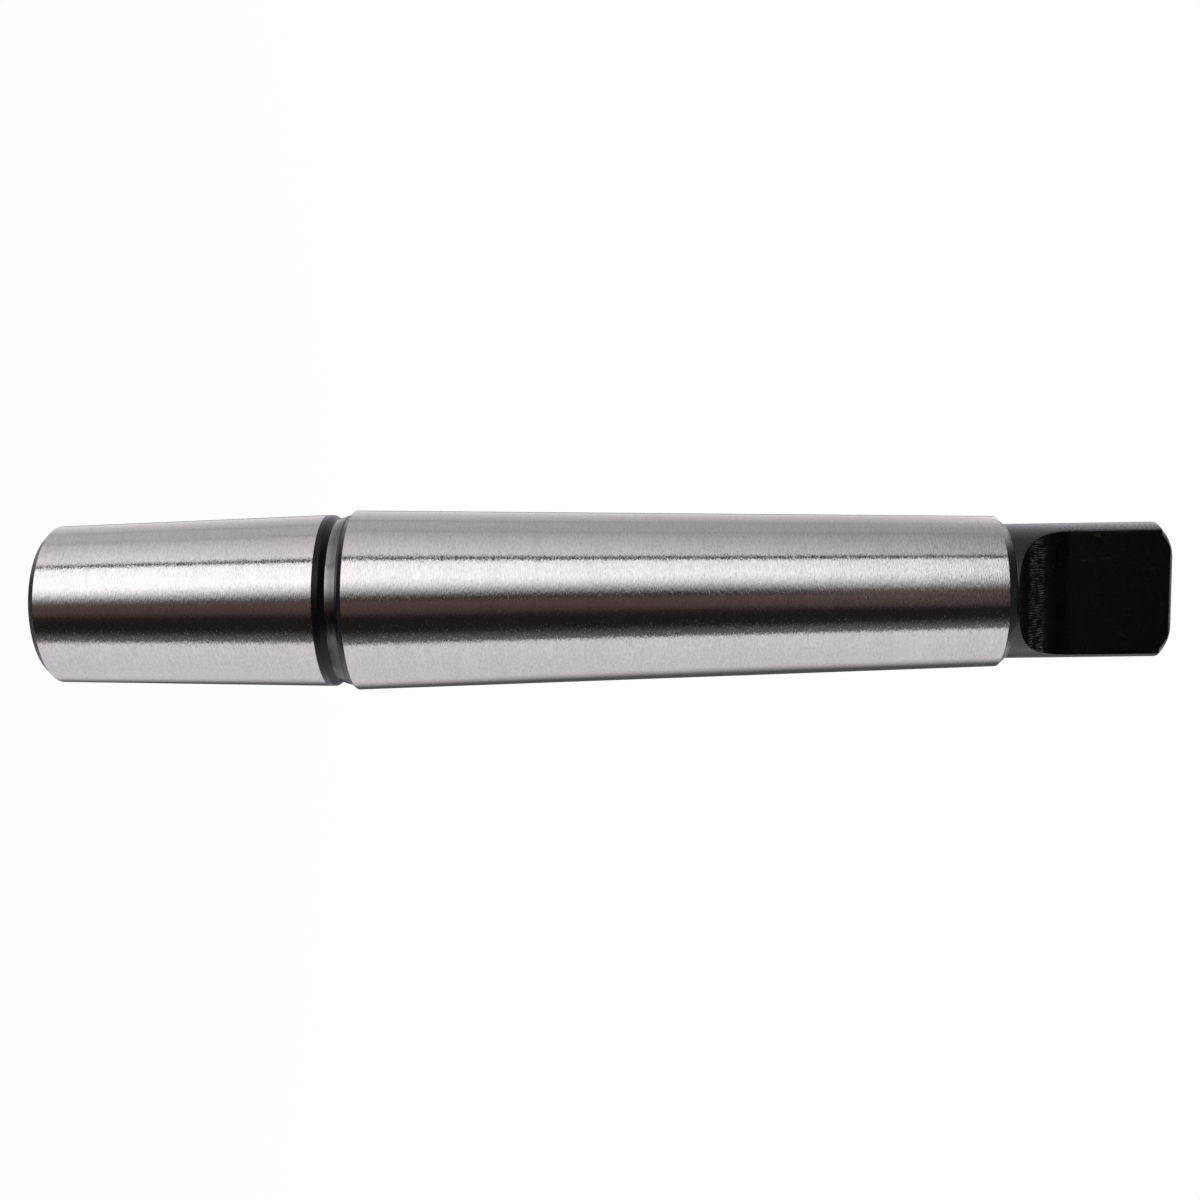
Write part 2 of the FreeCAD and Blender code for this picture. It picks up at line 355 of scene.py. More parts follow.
@dataclass(frozen=True)
class BlackOxide:
    """Steel blackened in a hot bath, over the marks of its cutting tool, and painted pale at edges,
    partly as rubbed wear and partly, on the tang's end, as a painted highlight.

    A turned surface has the fine thread of its tool. A milled one has the comb of its cutter's strokes,
    where the mesh says that it chattered, and pale smudges.
    """

    name: str
    marks: CutMarks
    colour: Colour = (0.0032, 0.003, 0.0034)
    light_colour: Colour = (0.0062, 0.006, 0.0066)
    cloud: Grain = Grain((2.5, 2.5, 1.6), 3.0)
    cloud_range: Point = (0.35, 0.65)
    index: float = 1.58
    gloss_tint: Colour = (0.93, 0.87, 1.0)
    roughness: float = 0.28
    roughness_steps: Point = (-0.05, 0.06)
    dust: float = 0.95
    dust_roughness: float = 0.3
    dust_tint: Colour = (0.92, 0.85, 1.0)
    pitting: Grain = Grain((0.3, 0.3, 0.3), 3.0, 0.6)
    pitting_range: Point = (0.3, 0.7)
    pitting_depth: float = 0.004
    worn_and_highlight_colour: Colour = (0.65, 0.63, 0.65)
    bare_shine: float = 0.3
    bare_range: Point = (0.36, 0.58)
    bare_shares: Point = (0.45, 1.0)
    thread_pitch: float = 0.21
    thread_depth: float = 0.012
    thread_share: float = 0.6
    thread_slant: float = 0.37
    tear: Grain = Grain((1.4, 1.4, 0.1), 3.0)
    comb_pitch: float = 0.23
    comb_depth: float = 0.03
    comb_sway: float = 2.0
    sway: Grain = Grain((0.4, 0.9, 0.9))
    comb_patch: Grain = Grain((0.7, 0.5, 0.6), 2.5, 0.6)
    comb_patch_range: Point = (0.4, 0.6)
    smudge: Grain = Grain((0.9, 0.9, 2.0), 4.0, 0.6)
    smudge_range: Point = (0.63, 0.76)
    smudge_strength: float = 0.16
    streak_colour: Colour = (0.15, 0.139, 0.144)

    def turned_height(self, sheet: ShaderSheet, place: Socket) -> Socket:
        """Draws the fine thread that a turning tool leaves, along the axis and across an end face.

        Args:
            sheet: The material's sheet.
            place: The place in metres.

        Returns:
            The height of the marks.
        """
        parts = sheet.node("ShaderNodeSeparateXYZ", Vector=place).outputs
        squares = [sheet.math("MULTIPLY", parts[axis], parts[axis]) for axis in (0, 1)]
        reach = sheet.math("SQRT", sheet.math("ADD", *squares))
        travel = sheet.math("ADD", parts[2], sheet.math("MULTIPLY", reach, self.thread_slant))
        turn = sheet.math("MULTIPLY", travel, 2 * math.pi / (self.thread_pitch * MILLIMETRE))
        thread = sheet.spread(sheet.math("SINE", turn), (-1.0, 1.0))
        tear = sheet.noise(place, self.tear)
        return sheet.math("ADD", sheet.math("MULTIPLY", thread, self.thread_share), tear)

    def milled_height(self, sheet: ShaderSheet, place: Socket) -> Socket:
        """Draws the comb of short strokes that a milling cutter leaves, side by side across the tang.

        Args:
            sheet: The material's sheet.
            place: The place in metres.

        Returns:
            The height of the strokes, nought between them.
        """
        patch = sheet.noise(place, self.comb_patch)
        sway = sheet.noise(place, self.sway)
        across = sheet.node("ShaderNodeSeparateXYZ", Vector=place).outputs[0]
        count = sheet.math("MULTIPLY", across, 1.0 / (self.comb_pitch * MILLIMETRE))
        turn = sheet.math("ADD", count, sheet.math("MULTIPLY", sway, self.comb_sway))
        wave = sheet.math("SINE", sheet.math("MULTIPLY", turn, 2 * math.pi))
        strokes = sheet.spread(wave, (0.0, 1.0))
        return sheet.math("MULTIPLY", strokes, sheet.spread(patch, self.comb_patch_range))

    def material(self) -> bpy.types.Material:
        """Builds the material.

        Returns:
            The black oxide over this kind of cut.
        """
        sheet = ShaderSheet(self.name)
        place = sheet.place()
        pitting = sheet.noise(place, self.pitting)
        cloud = sheet.noise(place, self.cloud)
        black = sheet.blend(sheet.spread(cloud, self.cloud_range), self.colour, self.light_colour)
        if self.marks is CutMarks.ROUND_THE_AXIS:
            cut = sheet.bump(self.turned_height(sheet, place), self.thread_depth)
        else:
            height = self.milled_height(sheet, place)
            comb = sheet.math("MULTIPLY", height, sheet.attribute("chatter"))
            cut = sheet.bump(comb, self.comb_depth)
            smudge = sheet.noise(place, self.smudge)
            smudge = sheet.spread(smudge, self.smudge_range, (0.0, self.smudge_strength))
            streak = sheet.math("MAXIMUM", comb, smudge)
            black = sheet.blend(streak, black, self.streak_colour)
        normal = sheet.bump(pitting, self.pitting_depth, cut)
        # The pale colour where the mesh is rubbed is partly wear and, along the tang's end, partly a
        # painted highlight.
        bare = sheet.spread(pitting, self.bare_range, self.bare_shares)
        rub_and_highlight = sheet.math("MULTIPLY", sheet.attribute("wear_and_highlight"), bare)
        roughness = shifted(self.roughness, self.roughness_steps)
        shader = sheet.node(
            "ShaderNodeBsdfPrincipled",
            Base_Color=sheet.blend(rub_and_highlight, black, self.worn_and_highlight_colour),
            Metallic=sheet.math("MULTIPLY", rub_and_highlight, self.bare_shine),
            Roughness=sheet.spread(pitting, self.pitting_range, roughness),
            IOR=self.index,
            Sheen_Weight=self.dust,
            Sheen_Roughness=self.dust_roughness,
            Sheen_Tint=(*self.dust_tint, 1.0),
            Specular_Tint=(*self.gloss_tint, 1.0),
            Normal=normal,
        )
        return sheet.finish(shader.outputs[0])


@dataclass(frozen=True)
class BurnishedSteel:
    """The sloping floor of the groove, burnished steel, coloured lighter on its side towards -X and
    darker on the other, as painted light and shade.

    The painted light is brightest at the root, as a painted highlight, and the painted shade is darkest
    there.
    """

    painted_lit_root: Colour = (0.27, 0.258, 0.266)
    painted_lit_top: Colour = (0.16, 0.151, 0.157)
    painted_shade_root: Colour = (0.03, 0.028, 0.031)
    painted_shade_top: Colour = (0.072, 0.068, 0.072)
    climb_heights: Point = (29.1, 29.7)
    painted_lit_side: Point = (5.0, -2.0)
    patch: Grain = Grain((0.8, 0.8, 0.5))
    patch_range: Point = (0.3, 0.7)
    patch_shift: Point = (-0.22, 0.22)
    streak: Grain = Grain((1.2, 1.2, 0.16), 3.0, 0.6)
    streak_range: Point = (0.3, 0.7)
    streak_depth: float = 0.004
    roughness: float = 0.2
    roughness_steps: Point = (-0.04, 0.08)

    def material(self) -> bpy.types.Material:
        """Builds the material.

        Returns:
            The burnished steel.
        """
        sheet = ShaderSheet("burnished_steel")
        place = sheet.place()
        parts = sheet.node("ShaderNodeSeparateXYZ", Vector=place).outputs
        streak = sheet.noise(place, self.streak)
        patch = sheet.noise(place, self.patch)
        # Painted light and shade: the side towards -X gets the lighter colours and the other side the
        # darker ones.
        side = sheet.spread(parts[0], in_metres(self.painted_lit_side), smooth=True)
        shift = sheet.spread(patch, self.patch_range, self.patch_shift)
        share = sheet.math("ADD", side, shift, clamp=True)
        # Painted highlight and painted shade at the root: the lit side is lightest there and the shaded
        # side darkest.
        climb = sheet.spread(parts[2], in_metres(self.climb_heights))
        painted_lit_colour = sheet.blend(climb, self.painted_lit_root, self.painted_lit_top)
        dark = sheet.blend(climb, self.painted_shade_root, self.painted_shade_top)
        roughness = shifted(self.roughness, self.roughness_steps)
        shader = sheet.node(
            "ShaderNodeBsdfPrincipled",
            Base_Color=sheet.blend(share, dark, painted_lit_colour),
            Metallic=1.0,
            Roughness=sheet.spread(streak, self.streak_range, roughness),
            Normal=sheet.bump(streak, self.streak_depth),
        )
        return sheet.finish(shader.outputs[0])


@dataclass(frozen=True)
class Corner:
    """A corner of the turned outline, and the finish of the run that leads on from it."""

    height: float
    radius: float
    finish: Finish
    rounding: float = 0.0
    wear_and_highlight: float = 0.0


@dataclass(frozen=True)
class Ring:
    """One ring of points round the axis, and the finish of the band that leads on from it."""

    height: float
    radius: float
    finish: Finish
    wear_and_highlight: float = 0.0


@dataclass(frozen=True)
class RimPoint:
    """One point of a row round the tang, and the finish of the strip that leads on from it."""

    x: float
    y: float
    finish: Finish
    wear_and_highlight: float


@dataclass(frozen=True)
class LatheCentre:
    """A lathe centre: a 60 degree cone over a pilot hole, drilled into an end face."""

    face_height: float
    inward: float
    mouth_radius: float
    drill_radius: float
    depth: float
    mouth_round: float = 0.06
    mouth_wear: float = 0.5
    cone_half_angle: float = math.radians(30.0)
    point_half_angle: float = math.radians(59.0)

    def outline(self) -> list[Corner]:
        """Lists the corners of the hole.

        Returns:
            The corners, from the drill's point out to the mouth.
        """
        cone_depth = (self.mouth_radius - self.drill_radius) / math.tan(self.cone_half_angle)
        point_depth = self.depth + self.drill_radius / math.tan(self.point_half_angle)
        steps = ((point_depth, 0.0), (self.depth, self.drill_radius), (cone_depth, self.drill_radius))
        inside = [Corner(self.face_height + self.inward * z, r, Finish.BLACK_TURNED) for z, r in steps]
        mouth = Corner(
            self.face_height, self.mouth_radius, Finish.BLACK_TURNED, self.mouth_round, self.mouth_wear
        )
        return [*inside, mouth]


@dataclass(frozen=True)
class Nose:
    """The short ground taper that carries the chuck, with its blackened end."""

    length: float = 27.9
    radius: float = 8.585
    taper_rate: float = 0.05189
    chamfer: float = 0.75
    chamfer_round: float = 0.04
    end_round: float = 0.08
    end_wear: float = 0.15
    centre: LatheCentre = LatheCentre(0.0, 1.0, mouth_radius=3.35, drill_radius=1.575, depth=6.5)

    def outline(self) -> list[Corner]:
        """Lists the corners from the bottom of the centre hole to the big end of the taper.

        Returns:
            The corners.
        """
        tip = self.radius - (self.length - self.chamfer) * self.taper_rate / 2
        return [
            *self.centre.outline(),
            Corner(0.0, tip - self.chamfer, Finish.BLACK_TURNED, self.end_round, self.end_wear),
            Corner(self.chamfer, tip, Finish.GROUND, self.chamfer_round),
            Corner(self.length, self.radius, Finish.BLACK_GROOVE),
        ]


@dataclass(frozen=True)
class ReliefGroove:
    """The groove between the tapers: a black land and fall, and a floor that slopes up to the shank."""

    land_end: float = 28.5
    land_round: float = 0.3
    nose_radius: float = Nose.radius
    root: float = 29.08
    root_round: float = 0.2
    root_radius: float = 8.185
    top: float = 30.1
    top_round: float = 0.03
    shoulder_radius: float = 8.5

    def outline(self) -> list[Corner]:
        """Lists the corners from the end of the land to the foot of the shank's chamfer.

        Returns:
            The corners.
        """
        return [
            Corner(self.land_end, self.nose_radius, Finish.BLACK_GROOVE, self.land_round),
            Corner(self.root, self.root_radius, Finish.BURNISHED, self.root_round),
            Corner(self.top, self.shoulder_radius, Finish.BLACK_TURNED, self.top_round),
        ]


@dataclass(frozen=True)
class Shank:
    """The long ground taper that seats in the spindle, with a chamfer and a bevel at its two ends."""

    foot: float = 30.3
    foot_round: float = 0.03
    length: float = 63.5
    radius: float = 9.0
    taper_rate: float = 0.04995
    chamfer: float = 0.5
    chamfer_round: float = 0.06
    bevel_round: float = 0.05

    def outline(self) -> list[Corner]:
        """Lists the corners from the foot of the chamfer to the start of the bevel.

        Returns:
            The corners.
        """
        start_radius = self.radius - self.chamfer * self.taper_rate / 2
        top_radius = self.radius - self.length * self.taper_rate / 2
        return [
            Corner(self.foot, self.radius - self.chamfer, Finish.BLACK_TURNED, self.foot_round),
            Corner(self.foot + self.chamfer, start_radius, Finish.GROUND, self.chamfer_round),
            Corner(self.foot + self.length, top_radius, Finish.BLACK_TURNED, self.bevel_round),
        ]


@dataclass(frozen=True)
class Tang:
    """The black neck and tang: two flats milled across a crowned end, run out on the cutter's arc.

    Its end is painted pale along the edges of the flats, over rub_width, partly as rubbed wear and
    partly as a painted highlight. rub_drop is how much faster the pale fades down a flat than across
    it.
    """

    neck_start: float = 94.65
    neck_radius: float = 6.6141
    neck_round: float = 0.2
    overall: float = 110.4
    crown_radius: float = 3.75
    crown_depth: float = 1.15
    half_thickness: float = 2.6
    flat_foot: float = 100.8
    cutter_radius: float = 6.5
    edge_round: float = 0.25
    side_round: float = 0.09
    widest_rounding: float = 0.4
    side_wear: float = 0.3
    rub_width: float = 0.45
    rub_fade: float = 0.2
    rub_drop: float = 1.6
    chatter_height: float = 97.15
    chatter_spread: float = 0.55
    least_chatter: float = 0.04
    arc_steps: int = 96
    flat_steps: int = 40
    width_steps: int = 40
    width_rows: int = 33
    turn_steps: int = 36
    turn_rows: int = 30
    straight_steps: int = 18
    crown_steps: int = 18
    crown_lead: float = 0.12
    closest_rows: float = 0.0008
    centre: LatheCentre = LatheCentre(overall, -1.0, mouth_radius=2.125, drill_radius=1.0, depth=4.5)

    @property
    def tip(self) -> float:
        """The height at which the run-out leaves the round neck."""
        return self.run_out_height(0.0)

    @property
    def crown_start(self) -> float:
        """The height at which the crown begins."""
        return self.overall - self.crown_depth

    @property
    def flat_half_width(self) -> float:
        """Half the width of a flat, above its run-out."""
        return math.sqrt(self.neck_radius**2 - self.half_thickness**2)

    def run_out_height(self, half_width: float) -> float:
        """Finds where the run-out has a given width.

        Args:
            half_width: The width, measured to one side.

        Returns:
            The height.
        """
        side = math.sqrt(self.neck_radius**2 - half_width**2)
        across = self.half_thickness + self.cutter_radius - side
        return self.flat_foot - math.sqrt(max(self.cutter_radius**2 - across**2, 0.0))

    def outline(self) -> list[Corner]:
        """Returns the corners of the round part of the neck, below the run-out."""
        start = Corner(self.neck_start, self.neck_radius, Finish.BLACK_TURNED, self.neck_round)
        return [start, Corner(self.tip, self.neck_radius, Finish.BLACK_TURNED)]

    def radius_at(self, height: float) -> float:
        """Finds the radius of the turned blank, crown included.

        Args:
            height: The height.

        Returns:
            The radius.
        """
        if height <= self.crown_start:
            return self.neck_radius
        spread = math.sqrt(self.crown_radius**2 - (self.crown_radius - self.crown_depth) ** 2)
        rise = min(height - (self.overall - self.crown_radius), self.crown_radius)
        return self.neck_radius - spread + math.sqrt(self.crown_radius**2 - rise**2)

    def side_at(self, height: float) -> float:
        """Finds how far a flat stands from the axis.

        Args:
            height: The height.

        Returns:
            The distance, which grows along the run-out and shrinks over the rounded end edge.
        """
        if height < self.flat_foot:
            down = self.flat_foot - height
            return self.half_thickness + self.cutter_radius - math.sqrt(self.cutter_radius**2 - down**2)
        over = height - (self.overall - self.edge_round)
        if over <= 0.0:
            return self.half_thickness
        return self.half_thickness - self.edge_round + math.sqrt(max(self.edge_round**2 - over**2, 0.0))

    def rub_and_highlight_at(self, height: float, inward: float) -> float:
        """Tells how pale the tang's end is painted, partly for wear and partly as a painted highlight.

        Args:
            height: The height of the point.
            inward: How far the point lies from the rubbed edge.

        Returns:
            The share of wear and painted highlight, from nought to one, which is nought below the
            crown.
        """
        if height <= self.crown_start:
            return 0.0
        return smooth_step((self.rub_width - inward) / self.rub_fade)

    def heights(self) -> list[float]:
        """Lists the heights of the rows of points above the tip of the run-out.

        Near its tip the run-out is stepped by its width, and further up by the turn of the cutter.

        Returns:
            The heights, close together where the shape turns.
        """
        widths = [self.flat_half_width * (row + 1) / self.width_steps for row in range(self.width_rows)]
        rows = [self.run_out_height(width) for width in widths]
        reach = math.asin((self.flat_foot - self.tip) / self.cutter_radius)
        turns = [reach * step / self.turn_steps for step in range(self.turn_rows)]
        rows += [self.flat_foot - self.cutter_radius * math.sin(turn) for turn in turns]
        run, steps = self.crown_start - self.flat_foot, self.straight_steps
        rows += [self.flat_foot + run * step / steps for step in range(1, steps)]
        rows += [self.crown_start - self.crown_lead, self.crown_start, self.overall]
        low = math.asin((self.crown_radius - self.crown_depth) / self.crown_radius)
        climb = math.pi / 2 - low
        turns = [low + climb * step / self.crown_steps for step in range(1, self.crown_steps)]
        rows += [self.overall - self.crown_radius * (1 - math.sin(turn)) for turn in turns]
        kept: list[float] = []
        for height in sorted(rows):
            if not kept or height - kept[-1] > self.closest_rows:
                kept.append(height)
        kept[-1] = self.overall
        return kept

    def section(self, height: float) -> list[RimPoint]:
        """Lists the points of one row, once round the axis.

        Args:
            height: The height of the row.

        Returns:
            The points.
        """
        radius, side = self.radius_at(height), self.side_at(height)
        half_width = math.sqrt(radius**2 - side**2)
        ending = height > self.crown_start
        reach = min(self.edge_round if ending else self.side_round, half_width * self.widest_rounding)
        swing = math.asin(side / radius) - reach / radius
        # The tang's end edges are painted pale: partly wear, partly a painted highlight.
        edge_wear_and_highlight = 1.0 if ending else self.side_wear
        arc = [swing * (2 * step / self.arc_steps - 1) for step in range(self.arc_steps + 1)]
        run = half_width - reach
        flat = [run * (1 - 2 * step / self.flat_steps) for step in range(self.flat_steps + 1)]
        points: list[RimPoint] = []
        for way in (1.0, -1.0):
            round_side = [(way * radius * math.cos(a), way * radius * math.sin(a)) for a in arc]
            flat_side = [(way * x, way * side) for x in flat]
            next_round = (-round_side[0][0], -round_side[0][1])
            ends = ((round_side[-1], flat_side[0]), (flat_side[-1], next_round))
            tips = ((way * half_width, way * side), (-way * half_width, way * side))
            corners = [
                tuple((a + 2 * t + b) / 4 for a, t, b in zip(first, tip, second))
                for (first, second), tip in zip(ends, tips)
            ]
            for a, (x, y) in zip(arc, round_side[:-1]):
                rub_and_highlight = self.rub_and_highlight_at(height, reach + radius * (swing - abs(a)))
                points.append(RimPoint(x, y, Finish.BLACK_TURNED, rub_and_highlight))
            points.append(RimPoint(*round_side[-1], Finish.BLACK_MILLED, self.rub_and_highlight_at(height, reach)))
            points.append(RimPoint(*corners[0], Finish.BLACK_MILLED, edge_wear_and_highlight))
            for x, y in flat_side:
                inward = min(half_width - abs(x), self.rub_drop * (self.overall - height))
                points.append(RimPoint(x, y, Finish.BLACK_MILLED, self.rub_and_highlight_at(height, inward)))
            points.append(RimPoint(*corners[1], Finish.BLACK_MILLED, edge_wear_and_highlight))
        return points

    def base_column(self, column: int) -> int:
        """Finds which point of the round ring below the tip a point of the first row grows from.

        Args:
            column: The place of the point in its row.

        Returns:
            The place in the ring.
        """
        arc_points, flat_points, corner_points = self.arc_steps + 1, self.flat_steps + 1, 2
        turn, along = divmod(column, arc_points + flat_points + corner_points)
        return (turn * self.arc_steps + min(along, self.arc_steps)) % (2 * self.arc_steps)

    def chatter_at(self, height: float) -> float:
        """Returns how deep the cutter's strokes are at a height, from nought to one."""
        near = smooth_step(2.0 - abs(height - self.chatter_height) / self.chatter_spread)
        return self.least_chatter + (1.0 - self.least_chatter) * near


@dataclass
class OutlineTracer:
    """Turns the corners of an outline into close rings, with rounded corners and straight runs."""

    longest_step: float = 2.0
    support: float = 0.12
    shortest_run: float = 2.5 * support
    round_steps: int = 4
    longest_rounding: float = 0.45

    def rings(self, corners: list[Corner]) -> list[Ring]:
        """Traces the outline.

        Args:
            corners: Its corners in order.

        Returns:
            The rings in order.
        """
        traced: list[Ring] = []
        for index, corner in enumerate(corners):
            before = corners[index - 1] if index else None
            after = corners[index + 1] if index + 1 < len(corners) else None
            turned = self.turn(before, corner, after)
            if traced:
                traced += self.run(traced[-1], turned[0])
            traced += turned
        return traced

    def turn(self, before: Corner | None, corner: Corner, after: Corner | None) -> list[Ring]:
        """Rounds one corner.

        Args:
            before: The corner before it, if any.
            corner: The corner.
            after: The corner after it, if any.

        Returns:
            Its rings, one where it is sharp.
        """
        if before is None or after is None or not corner.rounding:
            return [Ring(corner.height, corner.radius, corner.finish, corner.wear_and_highlight)]
        here = Vector((corner.height, corner.radius))
        back, ahead = (Vector((c.height, c.radius)) - here for c in (before, after))
        turn = math.pi - back.angle(ahead)
        room = self.longest_rounding * back.length, self.longest_rounding * ahead.length
        reach = min(corner.rounding * math.tan(turn / 2), *room)
        first, last = here + back.normalized() * reach, here + ahead.normalized() * reach
        rings = []
        for step in range(self.round_steps + 1):
            share = step / self.round_steps
            point = (1 - share) ** 2 * first + 2 * share * (1 - share) * here + share**2 * last
            finish = before.finish if share < 0.5 else corner.finish
            rings.append(Ring(point.x, point.y, finish, corner.wear_and_highlight))
        return rings

    def run(self, first: Ring, last: Ring) -> list[Ring]:
        """Fills a straight run between two rings.

        Args:
            first: The ring at its start.
            last: The ring at its end.

        Returns:
            The rings between them, none where the run is short.
        """
        start, end = Vector((first.height, first.radius)), Vector((last.height, last.radius))
        length = (end - start).length
        if length < self.shortest_run:
            return []
        inner = length - 2 * self.support
        count = max(1, math.ceil(inner / self.longest_step))
        places = [self.support + inner * step / count for step in range(count + 1)]
        return [Ring(*(start + (end - start) * place / length), first.finish) for place in places]


@dataclass
class ChuckArbor:
    """The whole arbor, one piece of steel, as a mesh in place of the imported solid."""

    nose: Nose = field(default_factory=Nose)
    groove: ReliefGroove = field(default_factory=ReliefGroove)
    shank: Shank = field(default_factory=Shank)
    tang: Tang = field(default_factory=Tang)
    end_rings: int = 4
    rim_share: float = 0.03
    mouth_margin: float = 0.06
    face_margin: float = 0.3
    axis_radius: float = 1e-6
    sharp_angle: float = math.radians(32.0)
    mesh: bmesh.types.BMesh = field(init=False)
    wear_and_highlight: bmesh.types.BMLayerItem = field(init=False)
    chatter: bmesh.types.BMLayerItem = field(init=False)

    def materials(self) -> list[bpy.types.Material]:
        """Makes the arbor's materials.

        Returns:
            One for each finish, in the order of the finishes.
        """
        turned = BlackOxide("black_oxide_turned", CutMarks.ROUND_THE_AXIS)
        groove = BlackOxide(
            "black_oxide_groove",
            CutMarks.ROUND_THE_AXIS,
            colour=(0.0006, 0.0006, 0.0007),
            light_colour=(0.0025, 0.0024, 0.0026),
            index=1.28,
            dust=1.0,
            dust_roughness=0.38,
            thread_depth=0.008,
        )
        milled = BlackOxide(
            "black_oxide_milled",
            CutMarks.ALONG_THE_AXIS,
            colour=(0.0009, 0.0008, 0.0009),
            light_colour=(0.0022, 0.002, 0.0022),
            index=1.5,
            roughness=0.22,
            dust=0.03,
        )
        made = {
            Finish.GROUND: GroundSteel().material(),
            Finish.BURNISHED: BurnishedSteel().material(),
            Finish.BLACK_TURNED: turned.material(),
            Finish.BLACK_MILLED: milled.material(),
            Finish.BLACK_GROOVE: groove.material(),
        }
        return [made[finish] for finish in Finish]

    def turned_rings(self) -> list[Ring]:
        """Returns the rings of everything below the flats, from the bottom of the nose's centre."""
        parts = (self.nose, self.groove, self.shank, self.tang)
        return OutlineTracer().rings([corner for part in parts for corner in part.outline()])

    def build(self) -> bpy.types.Object:
        """Builds the mesh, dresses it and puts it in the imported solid's place.

        Returns:
            The arbor.
        """
        self.mesh = bmesh.new()
        self.wear_and_highlight = self.mesh.verts.layers.float.new("wear_and_highlight")
        self.chatter = self.mesh.verts.layers.float.new("chatter")
        top_ring = self.turn_body()
        self.mill_tang(top_ring)
        bmesh.ops.recalc_face_normals(self.mesh, faces=self.mesh.faces)
        data = bpy.data.meshes.new("arbor")
        for material in self.materials():
            data.materials.append(material)
        self.mesh.to_mesh(data)
        self.mesh.free()
        data.set_sharp_from_angle(angle=self.sharp_angle)
        arbor = bpy.data.objects.new("arbor", data)
        bpy.context.scene.collection.objects.link(arbor)
        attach(arbor, "root")
        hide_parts("chuck_arbor")
        LOG.info("arbor: %d points, %d faces", len(data.vertices), len(data.polygons))
        return arbor

    def point(self, x: float, y: float, z: float, wear_and_highlight: float = 0.0) -> Vert:
        """Adds a point.

        Args:
            x: Across the tang.
            y: Through the tang.
            z: Along the axis.
            wear_and_highlight: How pale it is painted, for rubbed wear and, on the tang's end, a
                painted highlight, from nought to one.

        Returns:
            The point.
        """
        vert = self.mesh.verts.new(Vector((x, y, z)) * MILLIMETRE)
        vert[self.wear_and_highlight] = wear_and_highlight
        vert[self.chatter] = self.tang.chatter_at(z)
        return vert

    def ring_row(self, ring: Ring, ways: list[Point]) -> list[Vert]:
        """Adds the points of a ring, or the one point where it lies on the axis.

        Args:
            ring: The ring.
            ways: The direction of each point from the axis.

        Returns:
            The points, the same one for each direction where the ring lies on the axis.
        """
        if ring.radius < self.axis_radius:
            return [self.point(0.0, 0.0, ring.height)] * len(ways)
        return [self.point(ring.radius * x, ring.radius * y, ring.height, ring.wear_and_highlight) for x, y in ways]

    def skin(self, low: list[Vert], high: list[Vert], finishes: list[Finish]) -> None:
        """Joins two closed rows of points, column by column, and skips what has no area.

        Args:
            low: The first row.
            high: The second row.
            finishes: The finish of each strip.
        """
        count = len(high)
        for column, finish in enumerate(finishes):
            after = (column + 1) % count
            loop = [low[column], low[after], high[after], high[column]]
            distinct = list(dict.fromkeys(loop))
            if len(distinct) < 3:
                continue
            face = self.mesh.faces.new(distinct)
            face.material_index = finish.value
            face.smooth = True

    def turn_body(self) -> list[Vert]:
        """Revolves the rings of the turned body.

        Returns:
            The points of its last ring.
        """
        columns = 2 * self.tang.arc_steps
        angles = [-math.pi / 2 + 2 * math.pi * column / columns for column in range(columns)]
        ways = [(math.cos(a), math.sin(a)) for a in angles]
        low: list[Vert] = []
        finish = Finish.BLACK_TURNED
        for ring in self.turned_rings():
            row = self.ring_row(ring, ways)
            if low:
                self.skin(low, row, [finish] * columns)
            low, finish = row, ring.finish
        return low

    def mill_tang(self, ring: list[Vert]) -> None:
        """Grows the tang on the last ring of the turned body and closes its end with the centre hole.

        Args:
            ring: The points of that ring.
        """
        heights = self.tang.heights()
        columns = range(len(self.tang.section(heights[0])))
        low = [ring[self.tang.base_column(column)] for column in columns]
        for height in heights:
            section = self.tang.section(height)
            row = [self.point(spot.x, spot.y, height, spot.wear_and_highlight) for spot in section]
            self.skin(low, row, [spot.finish for spot in section])
            low = row
        self.close_end(low)

    def close_end(self, rim: list[Vert]) -> None:
        """Closes the tang's end face and sinks its centre hole.

        Args:
            rim: The points of the end face's edge.
        """
        centre = self.tang.centre
        black = [Finish.BLACK_TURNED] * len(rim)
        places = [vert.co.xy / MILLIMETRE for vert in rim]
        low = rim
        for share in (self.rim_share, *(step / self.end_rings for step in range(1, self.end_rings))):
            row = []
            for place in places:
                mouth = place.normalized() * (centre.mouth_radius + self.mouth_margin)
                row.append(self.point(*place.lerp(mouth, share), centre.face_height))
            self.skin(low, row, black)
            low = row
        ways = [tuple(place.normalized()) for place in places]
        edge_radius = centre.mouth_radius + self.face_margin
        face_edge = Corner(centre.face_height, edge_radius, Finish.BLACK_TURNED)
        # The first two rings lie on the face, which has rings of its own.
        _, _, *hole = OutlineTracer().rings([face_edge, *reversed(centre.outline())])
        for ring in hole:
            row = self.ring_row(ring, ways)
            self.skin(low, row, black)
            low = row


